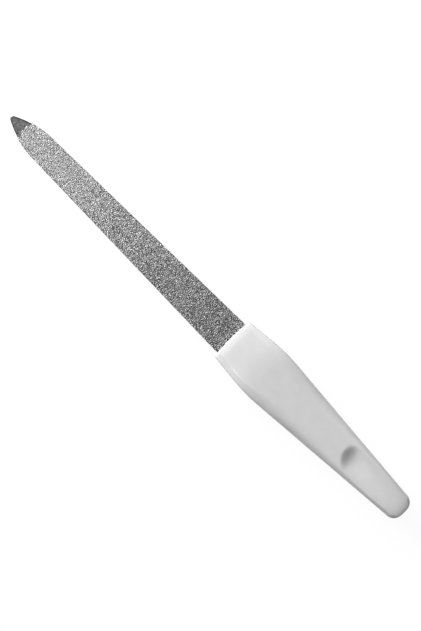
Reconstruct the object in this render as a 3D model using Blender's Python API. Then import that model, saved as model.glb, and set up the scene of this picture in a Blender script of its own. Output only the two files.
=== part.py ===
"""A nail file: a pointed steel blade coated with sapphire grit, in a moulded plastic handle.

The file lies along X with its point towards -X and its front face up, towards +Z.
The origin is on the table, under the middle of the file. Units are metres.
"""

import math

import bmesh
import bpy
from mathutils import Matrix

# Steel blank: a pointed strip that widens towards the handle and ends in a tang inside it.
STEEL_THICKNESS = 0.0008
EXPOSED_LENGTH = 0.0839
NOSE_RADIUS = 0.00095
POINT_LENGTH = 0.0118
POINT_WIDTH = 0.00735
ROOT_WIDTH = 0.0104
ROOT_IN_HANDLE = 0.0060
NECK_LENGTH = 0.0024
TANG_LENGTH = 0.0270
TANG_WIDTH = 0.0058
TANG_END_CHAMFER = 0.0014

# Two holes through the tang, each at this distance from one of its ends.
KEY_HOLE_RADIUS = 0.0014
KEY_HOLE_INSET = 0.0050

# Abrasive coat over both faces and round the edges. The point of the file stays bare.
BARE_POINT_LENGTH = 0.0058
FACE_COAT = 0.0002
EDGE_COAT = 0.0001
COAT_IN_HANDLE = 0.0020

# The plastic shrinks onto the steel and the coat with this much room.
MOULDING_GAP = 0.00005

# Plastic round the coated blade at the collar, the handle's front: at its edges and on its faces.
COLLAR_SIDE_WALL = 0.0012
COLLAR_FACE_WALL = 0.00115

# Handle outline, seen from above: it flares from the collar to the shoulder, then tapers.
HANDLE_LENGTH = 0.0661
SHOULDER_DISTANCE = 0.0133
SHOULDER_WIDTH = 0.01586
SHOULDER_BLEND = 0.0044
TAIL_WIDTH = 0.0073
FRONT_CORNER_RADIUS = 0.0007
TAIL_CORNER_RADIUS = 0.0023

# Handle outline, seen from the side: flat faces between a thinner collar and a thinner tail.
CREST_HEIGHT = 0.0054
CREST_DISTANCE = 0.0108
CREST_BLEND = 0.0028
TAIL_HEIGHT = 0.0046
TAIL_FALL_LENGTH = 0.0140
FRONT_ROUND_LENGTH = 0.0026
FRONT_ROUND_DROP = 0.0008
TAIL_ROUND_LENGTH = 0.0013
TAIL_ROUND_DROP = 0.0009

# Width of the rounding between the flat of each face and the side of the handle. It is narrow
# on the boxy collar, widest where the fingers hold the grip, and narrows again to the tail.
COLLAR_SIDE_ROUND = 0.0011
SHOULDER_SIDE_ROUND = 0.0018
GRIP_SIDE_ROUND = 0.0050
GRIP_FROM_SHOULDER = 0.0087
TAIL_SIDE_ROUND = 0.0013

# Power of the curve of that rounding: 2 is an ellipse, and a higher one leaves the face slowly.
SIDE_CURVE_POWER = 3.0

# Scoop in the front face: the mark of a ball-nosed cutter that plunges, then climbs to the tail.
SCOOP_RADIUS = 0.0070
SCOOP_DEPTH = 0.0007
SCOOP_FROM_TAIL = 0.0199
SCOOP_RAMP_LENGTH = 0.0180

# Fineness of the curves.
NOSE_STEPS = 6
OGIVE_STEPS = 14
END_STEPS = 7
SHOULDER_STEPS = 10
GRIP_STEPS = 6
FALL_STEPS = 6
SIDE_STEPS = 8
HOLE_SEGMENTS = 32
SCOOP_SEGMENTS = 96

# Sections of the handle lie at least this far apart.
LEAST_STEP = 0.00002

# Points of a turned shape that lie closer than this are one point.
MERGE_DISTANCE = 0.000001

# Edges sharper than this stay sharp where the handle is shaded smooth.
SHARP_ANGLE = math.radians(35)

# How far a cutter runs past the surface that it cuts.
OVERRUN = 0.001

COATED_ROOT_WIDTH = ROOT_WIDTH + 2 * EDGE_COAT
COATED_THICKNESS = STEEL_THICKNESS + 2 * FACE_COAT
COLLAR_WIDTH = COATED_ROOT_WIDTH + 2 * (MOULDING_GAP + COLLAR_SIDE_WALL)
COLLAR_HEIGHT = COATED_THICKNESS + 2 * (MOULDING_GAP + COLLAR_FACE_WALL)
GRIP_DISTANCE = SHOULDER_DISTANCE + GRIP_FROM_SHOULDER

FILE_LENGTH = EXPOSED_LENGTH + HANDLE_LENGTH
POINT_X = -FILE_LENGTH / 2
COLLAR_X = POINT_X + EXPOSED_LENGTH
TAIL_X = COLLAR_X + HANDLE_LENGTH
TANG_START_X = COLLAR_X + ROOT_IN_HANDLE + NECK_LENGTH
TANG_END_X = TANG_START_X + TANG_LENGTH
BLADE_Z = CREST_HEIGHT / 2
QUARTER = math.pi / 2


def clear_scene():
    """Removes every object, so that the file starts empty."""
    for thing in list(bpy.data.objects):
        bpy.data.objects.remove(thing)


def make_material(name, colour, roughness, metallic):
    """A plain surface with one colour."""
    material = bpy.data.materials.new(name)
    material.use_nodes = True
    shader = material.node_tree.nodes["Principled BSDF"]
    shader.inputs["Base Color"].default_value = (*colour, 1.0)
    shader.inputs["Roughness"].default_value = roughness
    shader.inputs["Metallic"].default_value = metallic
    return material


def add_object(name, bm):
    """Puts a finished bmesh into the scene with its faces pointing outwards."""
    bmesh.ops.recalc_face_normals(bm, faces=bm.faces)
    mesh = bpy.data.meshes.new(name)
    bm.to_mesh(mesh)
    bm.free()
    thing = bpy.data.objects.new(name, mesh)
    bpy.context.scene.collection.objects.link(thing)
    return thing


def make_plate(name, side, low, high):
    """A flat plate from the points along one side, mirrored about the file's centre line."""
    other_side = [(x, -y) for x, y in reversed(side) if y > 0]
    bm = bmesh.new()
    corners = [bm.verts.new((x, y, low)) for x, y in side + other_side]
    bottom = bm.faces.new(corners)
    grown = bmesh.ops.extrude_face_region(bm, geom=[bottom])
    top_corners = [item for item in grown["geom"] if isinstance(item, bmesh.types.BMVert)]
    bmesh.ops.translate(bm, verts=top_corners, vec=(0.0, 0.0, high - low))
    return add_object(name, bm)


def make_loft(name, rings):
    """A solid through a row of rings with the same number of points."""
    bm = bmesh.new()
    rows = [[bm.verts.new(point) for point in ring] for ring in rings]
    for row, next_row in zip(rows, rows[1:]):
        for index in range(len(row)):
            after = (index + 1) % len(row)
            bm.faces.new((row[index], row[after], next_row[after], next_row[index]))
    bm.faces.new(rows[0])
    bm.faces.new(rows[-1])
    return add_object(name, bm)


def make_pins(name, centres, radius, height):
    """Upright pins, all alike, centred on the blade's middle plane."""
    bm = bmesh.new()
    for x in centres:
        bmesh.ops.create_cone(
            bm,
            cap_ends=True,
            segments=HOLE_SEGMENTS,
            radius1=radius,
            radius2=radius,
            depth=height,
            matrix=Matrix.Translation((x, 0.0, BLADE_Z)),
        )
    return add_object(name, bm)


def cut(target, cutter):
    """Takes one solid out of another."""
    modifier = target.modifiers.new(cutter.name, "BOOLEAN")
    modifier.operation = "DIFFERENCE"
    modifier.object = cutter


def set_aside(cutter):
    """Marks a solid as a tool that shapes others and is no piece of the file."""
    cutter.display_type = "WIRE"
    cutter.hide_render = True


def shade_round(thing):
    """Smooth shading that keeps the real edges sharp."""
    thing.data.shade_smooth()
    thing.data.set_sharp_from_angle(angle=SHARP_ANGLE)


def ogive_arc():
    """Centre and radius of the arc that touches the round nose and the blade's straight side.

    Distances are measured from the point of the file along its centre line.
    """
    slope = (ROOT_WIDTH - POINT_WIDTH) / 2 / (EXPOSED_LENGTH - POINT_LENGTH)
    tilt = math.atan(slope)
    inward_x = math.sin(tilt)
    inward_y = -math.cos(tilt)
    run = POINT_LENGTH - NOSE_RADIUS
    rise = POINT_WIDTH / 2
    facing = run * inward_x + rise * inward_y
    radius = (NOSE_RADIUS**2 - run**2 - rise**2) / (2 * (facing + NOSE_RADIUS))
    return POINT_LENGTH + radius * inward_x, rise + radius * inward_y, radius


def nose_end():
    """Distance from the point at which the round nose becomes the ogive arc."""
    centre_x, _, radius = ogive_arc()
    return NOSE_RADIUS + NOSE_RADIUS * (NOSE_RADIUS - centre_x) / (radius - NOSE_RADIUS)


def steel_half_width(distance):
    """Half width of the steel at a distance from its point, up to the tang's neck."""
    if distance <= nose_end():
        return math.sqrt(NOSE_RADIUS**2 - (NOSE_RADIUS - distance) ** 2)
    if distance <= POINT_LENGTH:
        centre_x, centre_y, radius = ogive_arc()
        return centre_y + math.sqrt(radius**2 - (distance - centre_x) ** 2)
    share = min(1.0, (distance - POINT_LENGTH) / (EXPOSED_LENGTH - POINT_LENGTH))
    return (POINT_WIDTH + (ROOT_WIDTH - POINT_WIDTH) * share) / 2


def steel_stops():
    """Distances from the point at which the outline of the steel bends."""
    nose_angle = math.acos(1 - nose_end() / NOSE_RADIUS)
    nose = [NOSE_RADIUS * (1 - math.cos(nose_angle * step / NOSE_STEPS)) for step in range(NOSE_STEPS)]
    ogive_length = POINT_LENGTH - nose_end()
    ogive = [nose_end() + ogive_length * step / OGIVE_STEPS for step in range(OGIVE_STEPS + 1)]
    return nose + ogive + [EXPOSED_LENGTH]


def blade_side(start, end, growth=0.0):
    """Points along one side of the blade between two distances from its point."""
    stops = [start] + [stop for stop in steel_stops() if start < stop < end] + [end]
    return [(POINT_X + stop, steel_half_width(stop) + growth) for stop in stops]


def tang_side(growth=0.0):
    """Points along one side of the blank inside the handle, where it narrows to the tang."""
    half_root = ROOT_WIDTH / 2 + growth
    half_tang = TANG_WIDTH / 2 + growth
    return [
        (COLLAR_X + ROOT_IN_HANDLE + growth, half_root),
        (TANG_START_X + growth, half_tang),
        (TANG_END_X + growth - TANG_END_CHAMFER, half_tang),
        (TANG_END_X + growth, half_tang - TANG_END_CHAMFER),
    ]


def key_centres():
    """Where the two holes in the tang lie along X."""
    return [TANG_START_X + KEY_HOLE_INSET, TANG_END_X - KEY_HOLE_INSET]


def make_steel_blade(material):
    """The stamped blank, from its bare point to the end of the tang."""
    side = blade_side(0.0, EXPOSED_LENGTH) + tang_side()
    half_thickness = STEEL_THICKNESS / 2
    blade = make_plate("steel_blade", side, BLADE_Z - half_thickness, BLADE_Z + half_thickness)
    holes = make_pins("key_holes", key_centres(), KEY_HOLE_RADIUS, STEEL_THICKNESS + 2 * OVERRUN)
    set_aside(holes)
    cut(blade, holes)
    blade.data.materials.append(material)
    return blade


def make_grit_coat(name, blade, facing, material):
    """The coat on one face. It wraps the edges as far as the middle of the steel."""
    side = blade_side(BARE_POINT_LENGTH, EXPOSED_LENGTH + COAT_IN_HANDLE, EDGE_COAT)
    reach = BLADE_Z + facing * (STEEL_THICKNESS / 2 + FACE_COAT)
    coat = make_plate(name, side, min(BLADE_Z, reach), max(BLADE_Z, reach))
    cut(coat, blade)
    coat.data.materials.append(material)
    return coat


def bend(past, blend, slope_before, slope_after):
    """Height of a line that changes slope at zero, with its corner blended over a distance."""
    slope = slope_before if past < 0 else slope_after
    softened = max(0.0, blend - abs(past)) ** 2 / (4 * blend)
    return slope * past + (slope_after - slope_before) * softened


def end_rounding(distance, length, drop):
    """What an elliptical rounding takes off the surface at a distance from the end."""
    reach = max(0.0, 1 - distance / length)
    return drop * (1 - math.sqrt(1 - reach**2))


def handle_half_width(behind):
    """Half width of the handle at a distance behind its front."""
    flare = (SHOULDER_WIDTH - COLLAR_WIDTH) / 2 / SHOULDER_DISTANCE
    taper = (TAIL_WIDTH - SHOULDER_WIDTH) / 2 / (HANDLE_LENGTH - SHOULDER_DISTANCE)
    half_width = SHOULDER_WIDTH / 2 + bend(behind - SHOULDER_DISTANCE, SHOULDER_BLEND, flare, taper)
    half_width -= end_rounding(behind, FRONT_CORNER_RADIUS, FRONT_CORNER_RADIUS)
    half_width -= end_rounding(HANDLE_LENGTH - behind, TAIL_CORNER_RADIUS, TAIL_CORNER_RADIUS)
    return half_width


def handle_line_height(behind):
    """Half height of the handle before its two ends are rounded."""
    rise = (CREST_HEIGHT - COLLAR_HEIGHT) / 2 / CREST_DISTANCE
    fall_share = max(0.0, 1 - (HANDLE_LENGTH - behind) / TAIL_FALL_LENGTH)
    half_height = CREST_HEIGHT / 2 + bend(behind - CREST_DISTANCE, CREST_BLEND, rise, 0.0)
    return half_height - (CREST_HEIGHT - TAIL_HEIGHT) / 2 * fall_share**2


def handle_half_height(behind):
    """Half height of the handle at a distance behind its front."""
    half_height = handle_line_height(behind)
    half_height -= end_rounding(behind, FRONT_ROUND_LENGTH, FRONT_ROUND_DROP)
    half_height -= end_rounding(HANDLE_LENGTH - behind, TAIL_ROUND_LENGTH, TAIL_ROUND_DROP)
    return half_height


def ease(value, start, end):
    """Share of the way from start to end, leaving one and reaching the other without a kink."""
    share = min(1.0, max(0.0, (value - start) / (end - start)))
    return share * share * (3 - 2 * share)


def handle_side_round(behind):
    """Width of the rounded side. It shrinks with the height where the ends are rounded."""
    side_round = COLLAR_SIDE_ROUND
    side_round += (SHOULDER_SIDE_ROUND - COLLAR_SIDE_ROUND) * ease(behind, 0.0, SHOULDER_DISTANCE)
    side_round += (GRIP_SIDE_ROUND - SHOULDER_SIDE_ROUND) * ease(behind, SHOULDER_DISTANCE, GRIP_DISTANCE)
    side_round += (TAIL_SIDE_ROUND - GRIP_SIDE_ROUND) * ease(behind, GRIP_DISTANCE, HANDLE_LENGTH)
    return side_round * handle_half_height(behind) / handle_line_height(behind)


def handle_section(behind):
    """Ring round the handle: two flat faces joined by rounded sides."""
    half_width = handle_half_width(behind)
    half_height = handle_half_height(behind)
    side_round = handle_side_round(behind)
    ring = []
    for hand in (1, -1):
        for step in range(-SIDE_STEPS, SIDE_STEPS + 1):
            angle = QUARTER * step / SIDE_STEPS
            reach = abs(math.cos(angle)) ** (2 / SIDE_CURVE_POWER)
            y = hand * (half_width - side_round + side_round * reach)
            z = BLADE_Z + hand * half_height * math.sin(angle)
            ring.append((COLLAR_X + behind, y, z))
    return ring


def rounded_stops(length):
    """Distances from an end at which its rounding turns by equal angles."""
    return [length * (1 - math.cos(QUARTER * step / END_STEPS)) for step in range(END_STEPS + 1)]


def even_stops(start, end, steps):
    """Evenly spaced distances from start up to, but not including, end."""
    return [start + (end - start) * step / steps for step in range(steps)]


def in_order(stops):
    """The stops from front to tail, each at least a little behind the one before."""
    kept = []
    for stop in sorted(stops):
        if not kept or stop - kept[-1] > LEAST_STEP:
            kept.append(stop)
    return kept


def handle_stops():
    """Distances behind the handle's front at which a section is taken."""
    fall_start = HANDLE_LENGTH - TAIL_FALL_LENGTH
    tail_start = HANDLE_LENGTH - TAIL_CORNER_RADIUS
    front = rounded_stops(FRONT_ROUND_LENGTH)
    shoulder = even_stops(CREST_DISTANCE - CREST_BLEND, GRIP_DISTANCE, SHOULDER_STEPS)
    grip = even_stops(GRIP_DISTANCE, fall_start, GRIP_STEPS)
    fall = even_stops(fall_start, tail_start, FALL_STEPS)
    tail = [HANDLE_LENGTH - stop for stop in rounded_stops(TAIL_CORNER_RADIUS)]
    return in_order(front + shoulder + grip + fall + tail)


def make_pocket():
    """The room in the handle for the blank and its coat, less the two keys of plastic."""
    half_steel = STEEL_THICKNESS / 2 + MOULDING_GAP
    side = [(COLLAR_X - OVERRUN, ROOT_WIDTH / 2 + MOULDING_GAP)] + tang_side(MOULDING_GAP)
    pocket = make_plate("tang_pocket", side, BLADE_Z - half_steel, BLADE_Z + half_steel)
    keys = make_pins("keys", key_centres(), KEY_HOLE_RADIUS - MOULDING_GAP, CREST_HEIGHT)
    set_aside(keys)
    cut(pocket, keys)
    set_aside(pocket)
    return pocket


def make_mouth():
    """The wider start of the pocket, which also takes in the coats."""
    half_coated = COATED_THICKNESS / 2 + MOULDING_GAP
    half_width = COATED_ROOT_WIDTH / 2 + MOULDING_GAP
    side = [(COLLAR_X - OVERRUN, half_width), (COLLAR_X + COAT_IN_HANDLE + MOULDING_GAP, half_width)]
    mouth = make_plate("coat_mouth", side, BLADE_Z - half_coated, BLADE_Z + half_coated)
    set_aside(mouth)
    return mouth


def make_scoop_cutter():
    """A round bar with a ball nose. It lies in the front face and climbs out towards the tail."""
    climb = math.asin(SCOOP_DEPTH / SCOOP_RAMP_LENGTH)
    bar_length = SCOOP_RAMP_LENGTH + SCOOP_RADIUS
    bm = bmesh.new()
    quarter_steps = SCOOP_SEGMENTS // 4
    profile = []
    for step in range(quarter_steps + 1):
        angle = QUARTER * step / quarter_steps
        profile.append((-SCOOP_RADIUS * math.cos(angle), 0.0, SCOOP_RADIUS * math.sin(angle)))
    profile.append((bar_length, 0.0, SCOOP_RADIUS))
    profile.append((bar_length, 0.0, 0.0))
    points = [bm.verts.new(point) for point in profile]
    edges = [bm.edges.new(pair) for pair in zip(points, points[1:])]
    bmesh.ops.spin(
        bm,
        geom=points + edges,
        cent=(0.0, 0.0, 0.0),
        axis=(1.0, 0.0, 0.0),
        angle=math.tau,
        steps=SCOOP_SEGMENTS,
        use_merge=True,
    )
    bmesh.ops.remove_doubles(bm, verts=bm.verts, dist=MERGE_DISTANCE)
    scoop = add_object("scoop_cutter", bm)
    scoop.location = (TAIL_X - SCOOP_FROM_TAIL, 0.0, CREST_HEIGHT + SCOOP_RADIUS - SCOOP_DEPTH)
    scoop.rotation_euler = (0.0, -climb, 0.0)
    set_aside(scoop)
    return scoop


def make_handle(material):
    """The one-piece moulded handle."""
    handle = make_loft("handle", [handle_section(stop) for stop in handle_stops()])
    cut(handle, make_pocket())
    cut(handle, make_mouth())
    cut(handle, make_scoop_cutter())
    handle.data.materials.append(material)
    shade_round(handle)
    return handle


def main():
    clear_scene()
    steel = make_material("satin_steel", (0.42, 0.42, 0.41), 0.4, 1.0)
    grit = make_material("sapphire_grit", (0.36, 0.36, 0.36), 0.55, 0.3)
    plastic = make_material("white_plastic", (0.82, 0.82, 0.82), 0.45, 0.0)
    blade = make_steel_blade(steel)
    make_grit_coat("front_grit_coat", blade, 1, grit)
    make_grit_coat("back_grit_coat", blade, -1, grit)
    make_handle(plastic)


main()
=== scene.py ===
# %% [markdown]
# # A nail file with a sapphire coat
#
# A nail file of this kind is a pointed strip of stamped steel. Both of its faces carry crushed
# sapphire in a grey metal bond, its point is left bare, and a white plastic handle is moulded round
# its other end. The working model already has the true sizes. This lesson models every piece again
# at a finer scale, in the same place, and paints it with nodes.

# %% Load the working model
import math

import bmesh
import bpy
import numpy as np
from mathutils import Matrix, Vector


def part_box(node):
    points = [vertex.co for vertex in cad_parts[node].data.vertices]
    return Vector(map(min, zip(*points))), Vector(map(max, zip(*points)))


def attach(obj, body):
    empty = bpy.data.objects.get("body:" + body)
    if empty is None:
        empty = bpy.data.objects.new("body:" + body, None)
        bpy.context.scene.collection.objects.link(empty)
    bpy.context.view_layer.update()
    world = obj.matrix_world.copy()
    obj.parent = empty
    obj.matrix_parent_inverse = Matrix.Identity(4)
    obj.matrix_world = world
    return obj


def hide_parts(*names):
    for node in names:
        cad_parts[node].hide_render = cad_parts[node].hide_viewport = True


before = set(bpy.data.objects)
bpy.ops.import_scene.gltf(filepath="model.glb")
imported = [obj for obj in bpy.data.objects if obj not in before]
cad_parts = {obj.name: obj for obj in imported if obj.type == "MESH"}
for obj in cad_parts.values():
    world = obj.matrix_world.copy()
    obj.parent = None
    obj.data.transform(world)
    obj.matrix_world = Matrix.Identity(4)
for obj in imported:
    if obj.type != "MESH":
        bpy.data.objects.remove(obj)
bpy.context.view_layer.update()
print("working pieces:", ", ".join(sorted(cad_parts)))

# %% [markdown]
# ## Sizes
#
# Everything is in metres, so a millimetre gets a name. Places along the file come from the boxes of
# the working pieces: the point, the collar where the handle begins, and the tail. Only the sizes that
# a box can't tell are written out, each where it is first needed.

# %% Sizes from the working pieces
MM = 0.001
steel_low, steel_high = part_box("steel_blade")
handle_low, handle_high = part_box("handle")
coat_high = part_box("front_grit_coat")[1]

POINT_X = steel_low.x
TANG_END_X = steel_high.x
COLLAR_X = handle_low.x
TAIL_X = handle_high.x
BLADE_Z = (steel_low.z + steel_high.z) / 2
STEEL_THICKNESS = steel_high.z - steel_low.z
ROOT_WIDTH = steel_high.y - steel_low.y
EXPOSED_LENGTH = COLLAR_X - POINT_X
HANDLE_LENGTH = TAIL_X - COLLAR_X
CREST_HEIGHT = handle_high.z - handle_low.z
COAT_END_X = coat_high.x
FACE_COAT = coat_high.z - steel_high.z
EDGE_COAT = coat_high.y - steel_high.y
print(f"file {1000 * (TAIL_X - POINT_X):.1f} mm long, blade {1000 * EXPOSED_LENGTH:.1f} mm of it")

# %% [markdown]
# ## Camera
#
# The file is seen from straight above and lies across the picture from upper left to lower right.
# A long lens keeps its two ends at the same scale. The camera's distance follows from the lens, the
# height of the picture and the size of a pixel at the blade.

# %% Camera
PICTURE_WIDTH = 421
PICTURE_HEIGHT = 631
PIXEL = 0.26943 * MM
ORIGIN_PIXEL = (207.35, 314.45)
CAMERA_TURN = math.radians(45.2)
LENS = 120.0
SENSOR = 36.0

camera_data = bpy.data.cameras.new("camera")
camera_data.lens = LENS
camera_data.sensor_width = SENSOR
camera = bpy.data.objects.new("camera", camera_data)
picture_right = Vector((math.cos(CAMERA_TURN), math.sin(CAMERA_TURN), 0.0))
picture_up = Vector((-math.sin(CAMERA_TURN), math.cos(CAMERA_TURN), 0.0))
camera.location = (
    picture_right * (PICTURE_WIDTH / 2 - ORIGIN_PIXEL[0]) * PIXEL
    - picture_up * (PICTURE_HEIGHT / 2 - ORIGIN_PIXEL[1]) * PIXEL
)
camera.location.z = BLADE_Z + PICTURE_HEIGHT * PIXEL * LENS / SENSOR
camera.rotation_euler = (0.0, 0.0, CAMERA_TURN)
bpy.context.scene.collection.objects.link(camera)
bpy.context.scene.camera = camera
print(f"camera {1000 * camera.location.z:.0f} mm above the table")

# %% [markdown]
# ## Working in edit mode
#
# Operators act on what is selected, so each step selects one piece and opens it. These helpers stand
# for the clicks that would be made by hand. Each modifier is applied at once, to the real mesh.

# %% Helpers for edit mode
MERGE_DISTANCE = 0.001 * MM


def pick(piece):
    """Selects one piece and nothing else."""
    bpy.ops.object.select_all(action="DESELECT")
    piece.select_set(True)
    bpy.context.view_layer.objects.active = piece


def open_piece(piece):
    """Opens one piece in edit mode with nothing selected."""
    pick(piece)
    bpy.ops.object.mode_set(mode="EDIT")
    bpy.ops.mesh.select_all(action="DESELECT")


def close_piece():
    """Returns to object mode."""
    bpy.ops.object.mode_set(mode="OBJECT")


def added(name):
    """Names the primitive that was just added and gives it back."""
    piece = bpy.context.object
    piece.name = name
    piece.data.name = name
    return piece


def settle(piece):
    """Puts a piece's place, turn and scale into its mesh."""
    pick(piece)
    bpy.ops.object.transform_apply(location=True, rotation=True, scale=True)


def face_outwards(piece):
    """Merges doubled points and turns every face outwards."""
    open_piece(piece)
    bpy.ops.mesh.select_all(action="SELECT")
    bpy.ops.mesh.remove_doubles(threshold=MERGE_DISTANCE)
    bpy.ops.mesh.normals_make_consistent(inside=False)
    close_piece()


def discard(piece):
    """Removes a shape that was only a tool."""
    bpy.data.objects.remove(piece)


print("points closer than", MERGE_DISTANCE, "m are merged")

# %% Helpers for modifiers and shading
SHARP = math.radians(38)


def apply_modifier(piece, modifier):
    """Makes one modifier part of the mesh."""
    bpy.context.view_layer.objects.active = piece
    bpy.ops.object.modifier_apply(modifier=modifier.name)


def cut_away(piece, cutter):
    """Takes one closed shape out of another."""
    modifier = piece.modifiers.new("cut", "BOOLEAN")
    modifier.operation = "DIFFERENCE"
    modifier.object = cutter
    apply_modifier(piece, modifier)


def shade(piece):
    """Shades a piece smooth, apart from its sharp edges."""
    pick(piece)
    bpy.ops.object.shade_smooth_by_angle(angle=SHARP)


print(f"an edge counts as sharp from {math.degrees(SHARP):.0f} degrees")

# %% [markdown]
# ## The outline of the blade
#
# A press stamps the blank out of sheet steel. Its outline is a small round nose, a long arc on each
# side like the arch of a church window, and two straight sides that widen towards the handle. The arc
# has to touch the nose and the straight side without a corner, and that alone fixes its centre and
# radius. The width is then a function of the distance from the point.

# %% The outline of the blade
NOSE_RADIUS = 0.80 * MM
POINT_LENGTH = 11.8 * MM
POINT_WIDTH = 7.35 * MM

tilt = math.atan((ROOT_WIDTH - POINT_WIDTH) / 2 / (EXPOSED_LENGTH - POINT_LENGTH))
inward_x, inward_y = math.sin(tilt), -math.cos(tilt)
run = POINT_LENGTH - NOSE_RADIUS
rise = POINT_WIDTH / 2
facing = run * inward_x + rise * inward_y
ARC_RADIUS = (NOSE_RADIUS**2 - run**2 - rise**2) / (2 * (facing + NOSE_RADIUS))
ARC_X = POINT_LENGTH + ARC_RADIUS * inward_x
ARC_Y = rise + ARC_RADIUS * inward_y
NOSE_END = NOSE_RADIUS + NOSE_RADIUS * (NOSE_RADIUS - ARC_X) / (ARC_RADIUS - NOSE_RADIUS)


def blade_half_width(distance):
    """Half width of the steel at a distance from the point."""
    if distance <= NOSE_END:
        return math.sqrt(max(0.0, NOSE_RADIUS**2 - (NOSE_RADIUS - distance) ** 2))
    if distance <= POINT_LENGTH:
        return ARC_Y + math.sqrt(ARC_RADIUS**2 - (distance - ARC_X) ** 2)
    share = min(1.0, (distance - POINT_LENGTH) / (EXPOSED_LENGTH - POINT_LENGTH))
    return (POINT_WIDTH + (ROOT_WIDTH - POINT_WIDTH) * share) / 2


print(f"side arc of {1000 * ARC_RADIUS:.1f} mm")

# %% [markdown]
# ## Even steps, eased steps and rounded ends
#
# Three small formulas are used all through the lesson: evenly spaced places, a step that starts and
# ends gently, and the quarter of an ellipse by which an end is rounded.

# %% Even steps, eased steps and rounded ends
def even(start, end, steps):
    """Evenly spaced places from start up to, but not including, end."""
    return [start + (end - start) * step / steps for step in range(steps)]


def ease(value, start, end):
    """Share of the way from start to end, without a kink at either."""
    share = min(1.0, max(0.0, (value - start) / (end - start)))
    return share * share * (3 - 2 * share)


def end_rounding(distance, length, drop):
    """What an elliptical rounding takes off the surface at a distance from the end."""
    reach = max(0.0, 1 - distance / length)
    return drop * (1 - math.sqrt(max(0.0, 1 - reach**2)))


print("after a quarter, a step has gone", ease(0.25, 0.0, 1.0))

# %% [markdown]
# ## The tang
#
# Inside the handle the blank narrows to a tang with its end corners cut off. It never shows, but the
# piece is a whole blank all the same. Both parts of the outline can grow by a margin, for the bond on
# the steel and for the pocket round it.

# %% The outline of the whole blank
NOSE_STEPS = 10
ARC_STEPS = 40
ROOT_IN_HANDLE = 6.0 * MM
NECK_LENGTH = 2.4 * MM
TANG_WIDTH = 5.8 * MM
TANG_END_CHAMFER = 1.4 * MM
TANG_START_X = COLLAR_X + ROOT_IN_HANDLE + NECK_LENGTH


def exposed_outline(start, growth):
    """Outline of the blade from a distance behind its point up to the handle."""
    nose_angle = math.acos(1 - NOSE_END / NOSE_RADIUS)
    stops = [NOSE_RADIUS * (1 - math.cos(angle)) for angle in even(0.0, nose_angle, NOSE_STEPS)]
    stops += even(NOSE_END, POINT_LENGTH, ARC_STEPS) + even(POINT_LENGTH, EXPOSED_LENGTH, ARC_STEPS)
    stops = [start] + [stop for stop in stops if stop > start]
    return [(POINT_X + stop, blade_half_width(stop) + growth) for stop in stops]


def tang_outline(growth):
    """Outline of the blank inside the handle."""
    return [
        (COLLAR_X, ROOT_WIDTH / 2 + growth),
        (COLLAR_X + ROOT_IN_HANDLE + growth, ROOT_WIDTH / 2 + growth),
        (TANG_START_X + growth, TANG_WIDTH / 2 + growth),
        (TANG_END_X + growth - TANG_END_CHAMFER, TANG_WIDTH / 2 + growth),
        (TANG_END_X + growth, TANG_WIDTH / 2 + growth - TANG_END_CHAMFER),
    ]


print(f"the tang is {1000 * (TANG_END_X - TANG_START_X):.1f} mm long")

# %% [markdown]
# ## A flat plate from an outline
#
# The blank, its coats and the room for them in the handle are all flat plates. Each column of a grid is
# moved to one place along the file and spread to the width there, and the sheet is then extruded. A
# grid has points all over its face, and these can be moved later.

# %% A flat plate from an outline
def make_plate(name, outline, rows, low, high):
    """A plate through the pairs of place along X and half width, with that many rows across."""
    columns = len(outline) - 1
    bpy.ops.mesh.primitive_grid_add(
        x_subdivisions=columns, y_subdivisions=rows, size=1.0, location=(0.0, 0.0, low)
    )
    plate = added(name)
    settle(plate)
    for vertex in plate.data.vertices:
        x, half_width = outline[round((vertex.co.x + 0.5) * columns)]
        vertex.co.x = x
        vertex.co.y *= 2 * half_width
    open_piece(plate)
    bpy.ops.mesh.select_all(action="SELECT")
    bpy.ops.mesh.extrude_region_move(TRANSFORM_OT_translate={"value": (0.0, 0.0, high - low)})
    close_piece()
    face_outwards(plate)
    return plate


print("plates can be made from an outline")

# %% [markdown]
# ## The steel blank
#
# Stamped edges are tumbled before plating, which rolls them over. A bevel would be held back by the
# short edges at the nose, so the points near the outline are lowered by their distance from it
# instead. Two round holes are punched through the tang, where the plastic will hold the blade.

# %% The steel blank
BLANK_ROWS = 26
ROLLED_WIDTH = 0.45 * MM
ROLLED_DROP = 0.28 * MM
KEY_HOLE_RADIUS = 1.4 * MM
KEY_HOLE_INSET = 5.0 * MM
HOLE_SEGMENTS = 64
KEY_PLACES = (TANG_START_X + KEY_HOLE_INSET, TANG_END_X - KEY_HOLE_INSET)


def from_outline(place):
    """How far a place on the blade is from its outline."""
    distance, offset = place.x - POINT_X, abs(place.y)
    if distance <= NOSE_END:
        return NOSE_RADIUS - math.hypot(NOSE_RADIUS - distance, offset)
    if distance <= POINT_LENGTH:
        return ARC_RADIUS - math.hypot(distance - ARC_X, offset - ARC_Y)
    return blade_half_width(distance) - offset


def cut_pins(piece, radius, height):
    """Cuts an upright round pin out of a piece at both key places."""
    for x in KEY_PLACES:
        bpy.ops.mesh.primitive_cylinder_add(
            vertices=HOLE_SEGMENTS, radius=radius, depth=height, location=(x, 0.0, BLADE_Z)
        )
        pin = added("pin")
        cut_away(piece, pin)
        discard(pin)


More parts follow.
